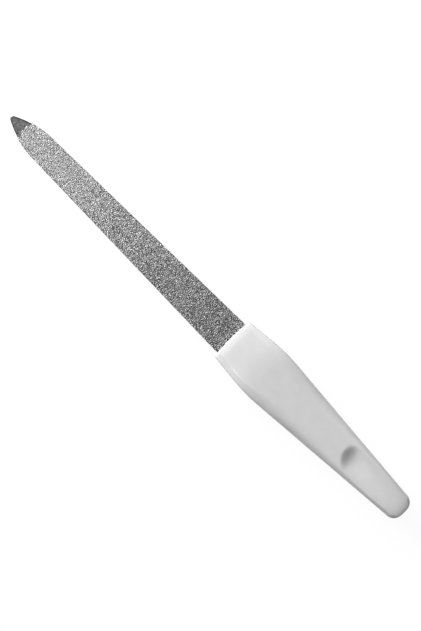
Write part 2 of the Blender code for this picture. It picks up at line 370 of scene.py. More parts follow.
steel_blank = make_plate(
    "steel_blank",
    exposed_outline(0.0, 0.0) + tang_outline(0.0),
    BLANK_ROWS,
    BLADE_Z - STEEL_THICKNESS / 2,
    BLADE_Z + STEEL_THICKNESS / 2,
)
for vertex in steel_blank.data.vertices:
    drop = end_rounding(max(0.0, from_outline(vertex.co)), ROLLED_WIDTH, ROLLED_DROP)
    vertex.co.z += drop if vertex.co.z < BLADE_Z else -drop
cut_pins(steel_blank, KEY_HOLE_RADIUS, 2 * STEEL_THICKNESS)
shade(steel_blank)
print("steel blank:", len(steel_blank.data.polygons), "faces")

# %% [markdown]
# ## The rim of the bare point
#
# The rolled rim of the bare point looks nearly black, and that darkness is painted on as shade. So every
# point of the mesh keeps a number, from 1 on the rim to 0 on the flat, which the material reads by its
# name to paint the rim darker.

# %% The rim of the bare point
RIM_SHADE_NAME = "painted_rim_shade"
RIM_SHADE_START = 0.12 * MM
RIM_SHADE_END = 0.62 * MM


def keep_number(piece, name, measure):
    """Keeps a number in every point of a piece, from a measure of its place."""
    numbers = piece.data.attributes.new(name, "FLOAT", "POINT")
    for vertex, number in zip(piece.data.vertices, numbers.data):
        number.value = measure(vertex.co)


# The number paints shade on the rolled rim and fades out towards the flat.
keep_number(steel_blank, RIM_SHADE_NAME, lambda place: 1 - ease(from_outline(place), RIM_SHADE_START, RIM_SHADE_END))
print(f"dark rim {1000 * RIM_SHADE_END:.2f} mm wide")

# %% [markdown]
# ## The bond
#
# The grit is held by a thin layer of grey metal that is plated over the steel and round its edges. It
# ends in a ragged line behind the point, because the bath never stops at a straight edge. The layer is
# made as a plate on each face, from the middle of the edge outwards, with the blank cut out of it.
# Many rows across let its front line wander in three waves, and a small bevel rounds its rim.

# %% The bond
BOND_ON_FACE = 0.09 * MM
BOND_ON_EDGE = 0.05 * MM
BOND_EDGE_ROUND = 0.07 * MM
BOND_EDGE_STEPS = 2
BOND_ROWS = 36
BARE_AT_MIDDLE = 4.9 * MM
BARE_AT_EDGES = 5.6 * MM
RAGGED_DEPTH = 0.22 * MM
RAGGED_WAVES = ((1.0, 9, 1.3), (0.6, 23, 0.4), (0.4, 41, 0.0))
FRONT_LINE = 0.01 * MM


def bare_length(share):
    """Length of bare steel, by the share of the way from the centre line to an edge."""
    wander = sum(height * math.sin(pace * share + start) for height, pace, start in RAGGED_WAVES)
    return BARE_AT_MIDDLE + (BARE_AT_EDGES - BARE_AT_MIDDLE) * share**2 + RAGGED_DEPTH * wander


def make_bond(name, facing):
    """The plated layer on the front face, facing 1, or on the back face, facing -1."""
    outline = exposed_outline(BARE_AT_EDGES, BOND_ON_EDGE)
    outline.append((COAT_END_X, ROOT_WIDTH / 2 + BOND_ON_EDGE))
    reach = BLADE_Z + facing * (STEEL_THICKNESS / 2 + BOND_ON_FACE)
    bond = make_plate(name, outline, BOND_ROWS, min(BLADE_Z, reach), max(BLADE_Z, reach))
    first_x, first_half_width = outline[0]
    for vertex in bond.data.vertices:
        if vertex.co.x < first_x + FRONT_LINE:
            share = vertex.co.y / first_half_width
            vertex.co.x += bare_length(share) - BARE_AT_EDGES
    cut_away(bond, steel_blank)
    modifier = bond.modifiers.new("soften", "BEVEL")
    modifier.width = BOND_EDGE_ROUND
    modifier.segments = BOND_EDGE_STEPS
    modifier.limit_method = "ANGLE"
    modifier.angle_limit = SHARP
    apply_modifier(bond, modifier)
    shade(bond)
    return bond


front_bond = make_bond("front_bond", 1)
back_bond = make_bond("back_bond", -1)
print("bond:", len(front_bond.data.polygons), "faces on each side")

# %% [markdown]
# ## A few crystals
#
# Crushed sapphire breaks into blocky grains with flat sides. So a grain is a cube, with one or two
# corners sliced off by a bisect. Six different ones are enough, because every copy is turned and
# stretched in its own way. They stay at twenty triangles or fewer, since there will be thousands.

# %% A few crystals
CRYSTAL_KINDS = 6
CUT_LEAN = (0.5, 1.0)
CUT_DEPTH = (0.42, 0.56)
SEED = 7
chance = np.random.default_rng(SEED)


def make_crystal(name, cuts):
    """A cube of side one with corners sliced off, as a list of points and one of triangles."""
    bpy.ops.mesh.primitive_cube_add(size=1.0)
    crystal = added(name)
    open_piece(crystal)
    for _ in range(cuts):
        normal = Vector(chance.uniform(*CUT_LEAN, 3) * chance.choice((-1, 1), 3)).normalized()
        depth = chance.uniform(*CUT_DEPTH)
        bpy.ops.mesh.select_all(action="SELECT")
        bpy.ops.mesh.bisect(plane_co=normal * depth, plane_no=normal, use_fill=True, clear_outer=True)
    bpy.ops.mesh.select_all(action="SELECT")
    bpy.ops.mesh.quads_convert_to_tris()
    bpy.ops.mesh.normals_make_consistent(inside=False)
    close_piece()
    points = np.array([vertex.co for vertex in crystal.data.vertices])
    triangles = np.array([tuple(face.vertices) for face in crystal.data.polygons])
    discard(crystal)
    return points, triangles


crystals = [make_crystal(f"crystal_{kind}", 1 + kind % 2) for kind in range(CRYSTAL_KINDS)]
print("triangles in each crystal:", [len(triangles) for _, triangles in crystals])

# %% [markdown]
# ## Where the grains sit
#
# Grains settle in the bath side by side, evenly but never in rows. A honeycomb of places with a random
# push on each gives that. One place in three holds a clear grain with greyer ones all round it, which
# makes the surface look like salt. Two rows of smaller grains follow each edge, so that the outline is
# rough as well.

# %% Where the grains sit
GRAIN_SPACING = 0.335 * MM
GRAIN_JITTER = 0.36
GRAIN_SIZE = 0.300 * MM
CLEAR_EVERY = 3
UNDER_COLLAR = GRAIN_SIZE / 4
FACE_MARGIN = 0.04 * MM
EDGE_SPACING = 0.30 * MM
EDGE_GRAIN_SIZE = 0.20 * MM
EDGE_ROW_HEIGHTS = (0.14 * MM, 0.38 * MM)


def face_places():
    """Distance from the point and offset from the middle of each grain on a face, and 1 if clear."""
    places = []
    row_gap = GRAIN_SPACING * math.sqrt(3) / 2
    row_count = int(ROOT_WIDTH / 2 / row_gap) + 1
    column_count = int(EXPOSED_LENGTH / GRAIN_SPACING) + 2
    for row in range(-row_count, row_count + 1):
        shift = GRAIN_SPACING / 2 if row % 2 else 0.0
        for column in range(column_count):
            push = chance.uniform(-GRAIN_JITTER, GRAIN_JITTER, 2) * GRAIN_SPACING
            distance = column * GRAIN_SPACING + shift + push[0]
            offset = row * row_gap + push[1]
            half_width = blade_half_width(max(distance, NOSE_END))
            inside = abs(offset) < half_width - FACE_MARGIN
            coated = inside and distance > bare_length(offset / half_width)
            if coated and distance < EXPOSED_LENGTH + UNDER_COLLAR:
                clear = (column - row // 2 - row) % CLEAR_EVERY == 0
                places.append((distance, offset, clear))
    return places


def edge_places():
    """Places along both edges, as distance, offset and height above the middle plane."""
    places = []
    for height in EDGE_ROW_HEIGHTS:
        for side in (-1, 1):
            for stop in even(BARE_AT_EDGES, EXPOSED_LENGTH, int(EXPOSED_LENGTH / EDGE_SPACING)):
                distance = stop + chance.uniform(-GRAIN_JITTER, GRAIN_JITTER) * EDGE_SPACING
                distance = min(distance, EXPOSED_LENGTH - EDGE_GRAIN_SIZE / 2)
                offset = side * (blade_half_width(distance) + BOND_ON_EDGE)
                places.append((distance, offset, height))
    return places


print(f"a grain every {1000 * GRAIN_SPACING:.2f} mm, and every {1000 * EDGE_SPACING:.2f} mm on the edges")

# %% [markdown]
# ## Turn, size and tone of each grain
#
# Three random angles would favour some directions, so a grain is turned by four random numbers of a
# bell curve, brought to length one. It is also stretched along its three axes and sits a little higher
# or deeper in the bond. A number, its tone, makes it clear or grey. Towards the point the tones draw
# together, which paints in the flatter look that the bright light there gives the grit.

# %% Turning the grains
def random_turns(count):
    """Evenly spread random rotations, as matrices."""
    w, x, y, z = chance.normal(size=(4, count))
    length = np.sqrt(w * w + x * x + y * y + z * z)
    w, x, y, z = w / length, x / length, y / length, z / length
    rows = [
        [1 - 2 * (y * y + z * z), 2 * (x * y - z * w), 2 * (x * z + y * w)],
        [2 * (x * y + z * w), 1 - 2 * (x * x + z * z), 2 * (y * z - x * w)],
        [2 * (x * z - y * w), 2 * (y * z + x * w), 1 - 2 * (x * x + y * y)],
    ]
    return np.array(rows).transpose(2, 0, 1).copy()


print("grains can be turned any way")

# %% Size and tone of the grains
CLEAR_SHARE = 0.55
EDGE_GREY_SHARE = 0.6
MIDDLE_TONE = 0.41
# How far the tones draw together near the point, painted light for the flatter look of the brightly lit
# grit.
POINT_LIGHT_EVENNESS = 0.42
EVEN_UNTIL = 25.0 * MM
UNEVEN_FROM = 41.0 * MM
GRAIN_RISE_IN_MM = (-0.03, 0.05)
GRAIN_STRETCH = (0.72, 1.22)


def scatter_grains(facing):
    """Place, three sizes, turn, kind and tone of every grain on one face and its half of the edges."""
    on_face, on_edge = np.array(face_places()), np.array(edge_places())
    rise = chance.uniform(*GRAIN_RISE_IN_MM, len(on_face)) * MM
    height = STEEL_THICKNESS / 2 + BOND_ON_FACE + rise
    places = np.concatenate([np.column_stack([on_face[:, :2], height]), on_edge])
    places[:, 0] += POINT_X
    places[:, 2] = BLADE_Z + facing * places[:, 2]
    sizes = np.repeat([GRAIN_SIZE, EDGE_GRAIN_SIZE], [len(on_face), len(on_edge)])
    sizes = sizes[:, None] * chance.uniform(*GRAIN_STRETCH, (len(places), 3))
    turns = random_turns(len(places))
    kinds = chance.integers(0, CRYSTAL_KINDS, len(places))
    clear_on_edge = chance.uniform(0.0, 1.0, len(on_edge)) > EDGE_GREY_SHARE
    clear = np.concatenate([on_face[:, 2], clear_on_edge])
    tones = CLEAR_SHARE * clear + chance.uniform(0.0, 1 - CLEAR_SHARE, len(places))
    # Near the point the tones draw together. This is painted light, standing in for the flatter look the
    # bright light gives there.
    light_evenness = [POINT_LIGHT_EVENNESS * (1 - ease(x - POINT_X, EVEN_UNTIL, UNEVEN_FROM)) for x in places[:, 0]]
    tones += (MIDDLE_TONE - tones) * np.array(light_evenness)
    return places, sizes, turns, kinds, tones


print("a clear grain is", CLEAR_SHARE, "brighter than a grey one")

# %% [markdown]
# ## Setting the grains
#
# Thousands of separate objects would be slow, so all the grains of one face become one mesh. Every
# copy of a crystal is stretched, turned and moved to its place, and its points keep its tone.

# %% Setting the grains
TONE_NAME = "grain_tone"


def make_grains(name, facing):
    """All the grains on one face and along its half of the edges, as one mesh."""
    places, sizes, turns, kinds, tones = scatter_grains(facing)
    points, triangles, point_tones, count = [], [], [], 0
    for kind, (shape, faces) in enumerate(crystals):
        chosen = np.where(kinds == kind)[0]
        placed = np.einsum("nij,nkj->nki", turns[chosen], shape[None] * sizes[chosen][:, None])
        placed += places[chosen][:, None]
        starts = count + len(shape) * np.arange(len(chosen))
        points.append(placed.reshape(-1, 3))
        triangles.append((faces[None] + starts[:, None, None]).reshape(-1, 3))
        point_tones.append(np.repeat(tones[chosen], len(shape)))
        count += len(shape) * len(chosen)
    mesh = bpy.data.meshes.new(name)
    mesh.from_pydata(np.concatenate(points).tolist(), [], np.concatenate(triangles).tolist())
    tone = mesh.attributes.new(TONE_NAME, "FLOAT", "POINT")
    tone.data.foreach_set("value", np.concatenate(point_tones).astype(np.float32))
    grains = bpy.data.objects.new(name, mesh)
    bpy.context.scene.collection.objects.link(grains)
    print(name, "has", len(kinds), "grains and", len(mesh.polygons), "triangles")
    return grains


front_grains = make_grains("front_grains", 1)
back_grains = make_grains("back_grains", -1)

# %% [markdown]
# ## The handle from above
#
# The handle is one moulding. Seen from above it flares from the collar to a softly blended shoulder
# and tapers to the tail, with small corners in front and wide ones behind. Every measure of it is a
# function of the distance behind its front.

# %% The handle from above
SHOULDER_DISTANCE = 13.3 * MM
SHOULDER_WIDTH = 15.86 * MM
SHOULDER_BLEND = 4.4 * MM
TAIL_WIDTH = 7.3 * MM
FRONT_CORNER_RADIUS = 0.8 * MM
TAIL_CORNER_RADIUS = 2.3 * MM
MOULDING_GAP = 0.05 * MM
COLLAR_SIDE_WALL = 1.2 * MM
COLLAR_WIDTH = ROOT_WIDTH + 2 * (EDGE_COAT + MOULDING_GAP + COLLAR_SIDE_WALL)


def bend(past, blend, slope_before, slope_after):
    """Height of a line that changes slope at zero, with its corner blended over a distance."""
    slope = slope_before if past < 0 else slope_after
    softened = max(0.0, blend - abs(past)) ** 2 / (4 * blend)
    return slope * past + (slope_after - slope_before) * softened


def handle_half_width(behind):
    """Half width of the handle at a distance behind its front."""
    flare = (SHOULDER_WIDTH - COLLAR_WIDTH) / 2 / SHOULDER_DISTANCE
    taper = (TAIL_WIDTH - SHOULDER_WIDTH) / 2 / (HANDLE_LENGTH - SHOULDER_DISTANCE)
    half_width = SHOULDER_WIDTH / 2 + bend(behind - SHOULDER_DISTANCE, SHOULDER_BLEND, flare, taper)
    half_width -= end_rounding(behind, FRONT_CORNER_RADIUS, FRONT_CORNER_RADIUS)
    return half_width - end_rounding(HANDLE_LENGTH - behind, TAIL_CORNER_RADIUS, TAIL_CORNER_RADIUS)


print(f"the collar is {1000 * COLLAR_WIDTH:.1f} mm wide")

# %% [markdown]
# ## The handle from the side
#
# Seen from the side it rises from a thin collar to a flat grip and falls again at the tail. The line
# without its rounded ends has a function of its own, which the width of the sides needs.

# %% The handle from the side
COLLAR_FACE_WALL = 1.22 * MM
CREST_DISTANCE = 10.2 * MM
CREST_BLEND = 3.4 * MM
TAIL_HEIGHT = 4.2 * MM
TAIL_FALL_LENGTH = 14.0 * MM
FRONT_ROUND_LENGTH = 2.6 * MM
FRONT_ROUND_DROP = 0.27 * MM
FRONT_LIP_RADIUS = 0.16 * MM
TAIL_ROUND_LENGTH = 3.2 * MM
TAIL_ROUND_DROP = 0.37 * MM
COLLAR_HEIGHT = STEEL_THICKNESS + 2 * (FACE_COAT + MOULDING_GAP + COLLAR_FACE_WALL)


def handle_line_height(behind):
    """Half height of the handle before its two ends are rounded."""
    rise = (CREST_HEIGHT - COLLAR_HEIGHT) / 2 / CREST_DISTANCE
    fall = max(0.0, 1 - (HANDLE_LENGTH - behind) / TAIL_FALL_LENGTH)
    half_height = CREST_HEIGHT / 2 + bend(behind - CREST_DISTANCE, CREST_BLEND, rise, 0.0)
    return half_height - (CREST_HEIGHT - TAIL_HEIGHT) / 2 * fall**2


def handle_half_height(behind):
    """Half height of the handle at a distance behind its front."""
    half_height = handle_line_height(behind)
    half_height -= FRONT_ROUND_DROP * max(0.0, 1 - behind / FRONT_ROUND_LENGTH) ** 2
    half_height -= end_rounding(behind, FRONT_LIP_RADIUS, FRONT_LIP_RADIUS)
    return half_height - end_rounding(HANDLE_LENGTH - behind, TAIL_ROUND_LENGTH, TAIL_ROUND_DROP)


print(f"the collar is {1000 * COLLAR_HEIGHT:.1f} mm high and the grip {1000 * CREST_HEIGHT:.1f} mm")

# %% [markdown]
# ## The sides of the handle
#
# On the collar each face ends in a crisp edge with a narrow bevel. Further back the bevel curves and
# deepens, and on the grip it has turned into a wide soft round for the fingers. No modifier changes its
# profile along an edge, so a side is mixed from the lines of the bevel and the round.

# %% The sides of the handle
COLLAR_SIDE_ROUND = 1.7 * MM
WIDENING_FROM = 7.0 * MM
GRIP_SIDE_ROUND = 4.6 * MM
GRIP_DISTANCE = 28.0 * MM
TAIL_DISTANCE = 58.0 * MM
TAIL_SIDE_ROUND = 1.3 * MM
BEVEL_DROP = 0.77 * MM
BEVEL_DEEPENING = 0.30 * MM
BEVEL_CURVE = 1.2
BEVEL_FLAT_UNTIL = 7.0 * MM
BEVEL_CURVED_FROM = 23.0 * MM
BEVEL_EDGE_POWER = 25.0
CRISP_UNTIL = 20.0 * MM
SOFT_FROM = 31.0 * MM
GRIP_CURVE_POWER = 3.0
ROUND_STEPS = 22


def handle_side_round(behind):
    """Width of the bevelled or rounded side."""
    side_round = COLLAR_SIDE_ROUND
    side_round += (GRIP_SIDE_ROUND - COLLAR_SIDE_ROUND) * ease(behind, WIDENING_FROM, GRIP_DISTANCE)
    side_round += (TAIL_SIDE_ROUND - GRIP_SIDE_ROUND) * ease(behind, GRIP_DISTANCE, TAIL_DISTANCE)
    return side_round * handle_half_height(behind) / handle_line_height(behind)


def handle_side_line(behind):
    """Points of the side as pairs of share outwards and height, from the widest place to the face."""
    crispness = 1 - ease(behind, CRISP_UNTIL, SOFT_FROM)
    change = ease(behind, BEVEL_FLAT_UNTIL, BEVEL_CURVED_FROM)
    curve = 1 + BEVEL_CURVE * change
    drop = BEVEL_DROP + BEVEL_DEEPENING * change
    half_height = handle_half_height(behind)
    line = []
    for angle in even(math.pi / 2, 0.0, ROUND_STEPS):
        out = math.sin(angle)
        bevelled = (half_height - drop * out**curve) * math.sqrt(1 - out**BEVEL_EDGE_POWER)
        rounded = half_height * math.sqrt(1 - out**GRIP_CURVE_POWER)
        line.append((out, crispness * bevelled + (1 - crispness) * rounded))
    return line


print(f"the sides are {1000 * handle_side_round(GRIP_DISTANCE):.1f} mm wide on the grip")

# %% [markdown]
# ## One section of the handle
#
# A section runs from the right side over the front face to the left side, and its other half is the
# same turned round. The collar's faces are crowned a little, and its front edge stands back and bows
# towards its corners. A fine raised line runs round the sides where the two halves of the mould met.

# %% One section of the handle
FLAT_STEPS = 44
PARTING_RIDGE = 0.025 * MM
CROWN_DROP = 0.32 * MM
CROWN_PLACE = 5.6 * MM
CROWN_END = 17.0 * MM
FRONT_SET_BACK = 0.10 * MM
FRONT_BOW = 0.22 * MM
FRONT_BOW_LENGTH = 4.0 * MM


def section(behind):
    """All the points round the handle, starting at its right side and going over its front face."""
    half_width = handle_half_width(behind)
    half_height = handle_half_height(behind)
    side_round = handle_side_round(behind)
    flat = half_width - side_round
    right = [(flat + side_round * out, z) for out, z in handle_side_line(behind)]
    left = [(-y, z) for y, z in reversed(right[1:])]
    right[0] = (half_width + PARTING_RIDGE, 0.0)
    face = [(y, half_height) for y in even(flat, -flat, FLAT_STEPS)] + [(-flat, half_height)]
    crown = CROWN_DROP * (1 - ease(behind, 0.0, CROWN_END)) / handle_line_height(behind)
    half = [(y, z * (1 - crown * min(1.0, (y / CROWN_PLACE) ** 2))) for y, z in right + face + left]
    return half + [(-y, -z) for y, z in half]


def front_bow(behind, y):
    """How far the rounded front edge stands back towards its two corners."""
    bow = FRONT_SET_BACK + FRONT_BOW * (y / handle_half_width(behind)) ** 2
    return bow * (1 - ease(behind, 0.0, FRONT_BOW_LENGTH))


print("a section has", len(section(0.0)), "points")

# %% [markdown]
# ## The scoop
#
# Near the tail the front face has a small scoop for the thumb, like the mark of a ball-nosed cutter
# that plunges in, turns and climbs out slowly towards the tail, a little askew. A boolean would leave
# a knife edge, and a moulding has none. So the points of the face are pressed down to the cutter's
# surface, with a blend that rounds the lip and grows wider along the trough.

# %% The scoop
SCOOP_RADIUS = 6.6 * MM
SCOOP_DEPTH = 0.85 * MM
SCOOP_FROM_TAIL = 19.5 * MM
SCOOP_LIP = 0.45 * MM
TROUGH_LIP = 1.00 * MM
TROUGH_LENGTH = 10.0 * MM
SCOOP_TURN_SLOPE = 0.050
SCOOP_TURN_LENGTH = 1.0 * MM
SCOOP_CLIMB = 0.052
SCOOP_SKEW = 0.20
SCOOP_X = TAIL_X - SCOOP_FROM_TAIL
SCOOP_TURN_X = SCOOP_X - SCOOP_RADIUS * math.sin(math.atan(SCOOP_TURN_SLOPE))


def scoop_floor(x):
    """Height of the scoop's middle line above the table, or none in front of the cutter."""
    past = min(x, SCOOP_TURN_X) - SCOOP_X
    if past <= -SCOOP_RADIUS:
        return None
    floor = CREST_HEIGHT - SCOOP_DEPTH + SCOOP_RADIUS - math.sqrt(SCOOP_RADIUS**2 - past**2)
    climbed = max(0.0, x - SCOOP_TURN_X)
    turned = SCOOP_TURN_LENGTH * (1 - math.exp(-climbed / SCOOP_TURN_LENGTH))
    return floor + SCOOP_CLIMB * climbed - (SCOOP_TURN_SLOPE + SCOOP_CLIMB) * turned


def pressed(x, y, z):
    """Height of a point of the front face once the scoop is pressed into it."""
    floor = scoop_floor(x + SCOOP_SKEW * y)
    if floor is None or abs(y) >= SCOOP_RADIUS:
        return z
    cutter = floor + SCOOP_RADIUS - math.sqrt(SCOOP_RADIUS**2 - y**2)
    lip = SCOOP_LIP + (TROUGH_LIP - SCOOP_LIP) * ease(x, SCOOP_TURN_X, SCOOP_TURN_X + TROUGH_LENGTH)
    near = max(0.0, lip - abs(z - cutter))
    return min(z, cutter) - near * near / (4 * lip)


print(f"the scoop is {1000 * SCOOP_DEPTH:.2f} mm deep, {1000 * SCOOP_FROM_TAIL:.1f} mm from the tail")

# %% [markdown]
# ## Modelling the handle
#
# A round bar of length one, with one long edge for every point of the section, is laid along the file.
# Its long edges are divided into rings, closer together where the shape changes quickly. Every point is
# then moved onto the section of its ring, which leaves one clean grid of four-sided faces.

# %% Rings along the handle
END_STEPS = 16
COLLAR_STEPS = 40
GRIP_STEPS = 22
SCOOP_STEPS = 90
SCOOP_RUN_UP = 0.75 * SCOOP_RADIUS

quarter = even(0.0, math.pi / 2, END_STEPS)
scoop_start = HANDLE_LENGTH - SCOOP_FROM_TAIL - SCOOP_RUN_UP
tail_start = HANDLE_LENGTH - TAIL_CORNER_RADIUS
stations = [FRONT_ROUND_LENGTH * (1 - math.cos(angle)) for angle in quarter]
stations += even(FRONT_ROUND_LENGTH, GRIP_DISTANCE, COLLAR_STEPS)
stations += even(GRIP_DISTANCE, scoop_start, GRIP_STEPS)
stations += even(scoop_start, tail_start, SCOOP_STEPS)
stations += [tail_start + TAIL_CORNER_RADIUS * math.sin(angle) for angle in quarter]
stations += [HANDLE_LENGTH]
print("the handle has", len(stations), "rings")

# %% A bar with rings
BAR_LENGTH = 1.0
BAR_RADIUS = 0.5
ring_size = len(section(0.0))
bpy.ops.mesh.primitive_cylinder_add(
    vertices=ring_size,
    radius=BAR_RADIUS,
    depth=BAR_LENGTH,
    rotation=(0.0, math.pi / 2, 0.0),
    location=(BAR_LENGTH / 2, 0.0, 0.0),
)
moulded_handle = added("moulded_handle")
settle(moulded_handle)
open_piece(moulded_handle)
bpy.ops.mesh.select_mode(type="EDGE")
bar = bmesh.from_edit_mesh(moulded_handle.data)
for edge in bar.edges:
    edge.select_set(abs(edge.verts[0].co.x - edge.verts[1].co.x) > BAR_LENGTH / 2)
bmesh.update_edit_mesh(moulded_handle.data)
bpy.ops.mesh.subdivide_edgering(number_cuts=len(stations) - 2, interpolation="LINEAR")
bpy.ops.mesh.select_mode(type="VERT")
close_piece()
print("the bar has", ring_size, "long edges")

# %% Moving the rings onto their sections
sections = [section(behind) for behind in stations]
for vertex in moulded_handle.data.vertices:
    ring = round(vertex.co.x / BAR_LENGTH * (len(stations) - 1))
    turn = math.atan2(vertex.co.z, vertex.co.y) / math.tau
    y, z = sections[ring][round(turn * ring_size) % ring_size]
    x = COLLAR_X + stations[ring] + front_bow(stations[ring], y)
    z += BLADE_Z
    vertex.co = (x, y, pressed(x, y, z) if z > BLADE_Z else z)
face_outwards(moulded_handle)
open_piece(moulded_handle)
bpy.ops.mesh.select_face_by_sides(number=4, type="GREATER")
bpy.ops.mesh.quads_convert_to_tris(ngon_method="BEAUTY")
close_piece()
print("handle:", len(moulded_handle.data.polygons), "faces")

# %% [markdown]
# ## The room for the blade
#
# The plastic is shot round the blank, so the handle has a pocket of the blank's own shape, a wider
# mouth for the coated end, and two keys of plastic where it flowed through the holes.

# %% The room for the blade
OVERRUN = 1.0 * MM
TOOL_ROWS = 1
pocket_height = STEEL_THICKNESS / 2 + MOULDING_GAP
pocket = make_plate(
    "pocket",
    [(COLLAR_X - OVERRUN, ROOT_WIDTH / 2 + MOULDING_GAP)] + tang_outline(MOULDING_GAP)[1:],
    TOOL_ROWS,
    BLADE_Z - pocket_height,
    BLADE_Z + pocket_height,
)
cut_pins(pocket, KEY_HOLE_RADIUS - MOULDING_GAP, CREST_HEIGHT)
mouth_width = ROOT_WIDTH / 2 + EDGE_COAT + MOULDING_GAP
mouth_height = STEEL_THICKNESS / 2 + FACE_COAT + MOULDING_GAP
mouth = make_plate(
    "mouth",
    [(COLLAR_X - OVERRUN, mouth_width), (COAT_END_X + MOULDING_GAP, mouth_width)],
    TOOL_ROWS,
    BLADE_Z - mouth_height,
    BLADE_Z + mouth_height,
)
for tool in (pocket, mouth):
    cut_away(moulded_handle, tool)
    discard(tool)
shade(moulded_handle)
print("handle with its pocket:", len(moulded_handle.data.polygons), "faces")

# %% [markdown]
# ## The polished edge
#
# Handling has polished the crisp edges of the collar, and one of them catches the light as a thin
# white line. The grid has a line of points exactly there, so they keep a number for the material, which
# fades out at both ends of the edge.

# %% The polished edge
POLISH_NAME = "burnished"
POLISH_START = 3.0 * MM
POLISH_FULL = 6.0 * MM
POLISH_FADING = 10.5 * MM
POLISH_END = 13.5 * MM
ON_LINE = 0.02 * MM


def edge_polish(place):
    """How much a point has been polished, which is only where the collar's faces end in an edge."""
    behind = place.x - COLLAR_X
    if not POLISH_START < behind < POLISH_END:
        return 0.0
    edge = handle_half_width(behind) - handle_side_round(behind)
    if abs(abs(place.y) - edge) > ON_LINE:
        return 0.0
    return ease(behind, POLISH_START, POLISH_FULL) * (1 - ease(behind, POLISH_FADING, POLISH_END))


keep_number(moulded_handle, POLISH_NAME, edge_polish)
print(f"the edge is polished over {1000 * (POLISH_END - POLISH_START):.1f} mm")

# %% [markdown]
# ## Painting with nodes
#
# Each surface starts from the main shader with its plain values set on it. Then noise that is fixed to
# the piece is led into colour, roughness or bump. These helpers add one noise, stretch its range to two
# values, and make a bump of a real height. Noise rarely leaves 0.3 to 0.7, so that range is stretched.

# %% Helpers for surfaces
NOISE_RANGE = (0.3, 0.7)


def set_plain(node, values):
    """Sets plain values on a node by the names of its sockets, and gives the node back."""
    for socket, value in values.items():
        node.inputs[socket].default_value = value
    return node


def new_surface(name, values):
    """A new material with plain values on its main shader, and that shader."""
    material = bpy.data.materials.new(name)
    material.use_nodes = True
    return material, set_plain(material.node_tree.nodes["Principled BSDF"], values)


def add_node(tree, kind, values):
    """A new node of a kind, with plain values."""
    return set_plain(tree.nodes.new("ShaderNode" + kind), values)


def lead(value, socket):
    """Leads a value into a socket of the same nodes."""
    value.id_data.links.new(value, socket)


def add_noise(material, spot, detail=2.0, stretch=(1.0, 1.0, 1.0)):
    """Noise with spots of about one size, in metres, fixed to the piece."""
    coordinates = add_node(material.node_tree, "TexCoord", {})
    mapping = add_node(material.node_tree, "Mapping", {"Scale": stretch})
    noise = add_node(material.node_tree, "TexNoise", {"Scale": 1 / spot, "Detail": detail})
    lead(coordinates.outputs["Object"], mapping.inputs["Vector"])
    lead(mapping.outputs["Vector"], noise.inputs["Vector"])
    return noise.outputs["Fac"]


def read_number(material, name):
    """A number that is kept in the piece's points."""
    node = add_node(material.node_tree, "Attribute", {})
    node.attribute_name = name
    return node.outputs["Fac"]


def spread(value, low, high, source=NOISE_RANGE):
    """Stretches a value from its own range over the range from low to high."""
    limits = {"From Min": source[0], "From Max": source[1], "To Min": low, "To Max": high}
    node = add_node(value.id_data, "MapRange", limits)
    lead(value, node.inputs["Value"])
    return node.outputs["Result"]


def add_bump(shader, value, height):
    """Raises the surface by up to a height, in metres, where a value is high."""
    bump = add_node(value.id_data, "Bump", {"Strength": 1.0, "Distance": height})
    lead(value, bump.inputs["Height"])
    lead(bump.outputs["Normal"], shader.inputs["Normal"])


def paint(piece, material):
    """Gives a piece its one material."""
    piece.data.materials.clear()
    piece.data.materials.append(material)


print("surface helpers are ready")

# %% [markdown]
# ## Satin steel
#
# The bare point is satin steel. It was rubbed along its length, so one noise is stretched that way and
# sets the roughness and a very low bump. A rounder noise clouds its grey, and the number kept in the
# rim takes that cloud down to a much darker range, which paints shade on the rim.

# %% Satin steel
RUB_SPOT = 0.22 * MM
RUB_STRETCH = (0.3, 1.0, 1.0)
RUB_HEIGHT = 0.006 * MM
RUB_ROUGHNESS = (0.36, 0.50)
STEEL_CLOUD = 0.5 * MM
STEEL_TONES = (0.060, 0.200)
# The much darker grey is painted shade for the rolled rim.
RIM_SHADE_TONES = (0.030, 0.055)

satin_steel, steel_shader = new_surface("satin_steel", {"Metallic": 1.0})
steel_rub = add_noise(satin_steel, RUB_SPOT, detail=3.0, stretch=RUB_STRETCH)
steel_cloud = add_noise(satin_steel, STEEL_CLOUD, detail=3.0)
steel_tone = add_node(satin_steel.node_tree, "Mix", {})
# The rim's number mixes in the darker grey, which is the painted shade on the rolled rim.
lead(read_number(satin_steel, RIM_SHADE_NAME), steel_tone.inputs["Factor"])
lead(spread(steel_cloud, *STEEL_TONES), steel_tone.inputs["A"])
lead(spread(steel_cloud, *RIM_SHADE_TONES), steel_tone.inputs["B"])
lead(steel_tone.outputs["Result"], steel_shader.inputs["Base Color"])
lead(spread(steel_rub, *RUB_ROUGHNESS), steel_shader.inputs["Roughness"])
add_bump(steel_shader, steel_rub, RUB_HEIGHT)
paint(steel_blank, satin_steel)
print("painted", steel_blank.name)

# %% [markdown]
# ## Grey bond
#
# The plated metal between the grains is dull, dark and pitted. One fine noise darkens and sinks the
# pits.

# %% Grey bond
PIT_SPOT = 0.16 * MM
PIT_DEPTH = 0.05 * MM
BOND_TONES = (0.05, 0.14)

grey_bond, bond_shader = new_surface("grey_bond", {"Roughness": 0.55, "Metallic": 0.6})
bond_pits = add_noise(grey_bond, PIT_SPOT, detail=3.0)
lead(spread(bond_pits, *BOND_TONES), bond_shader.inputs["Base Color"])
add_bump(bond_shader, bond_pits, PIT_DEPTH)
for bond in (front_bond, back_bond):
    paint(bond, grey_bond)
print("painted", front_bond.name, "and", back_bond.name)

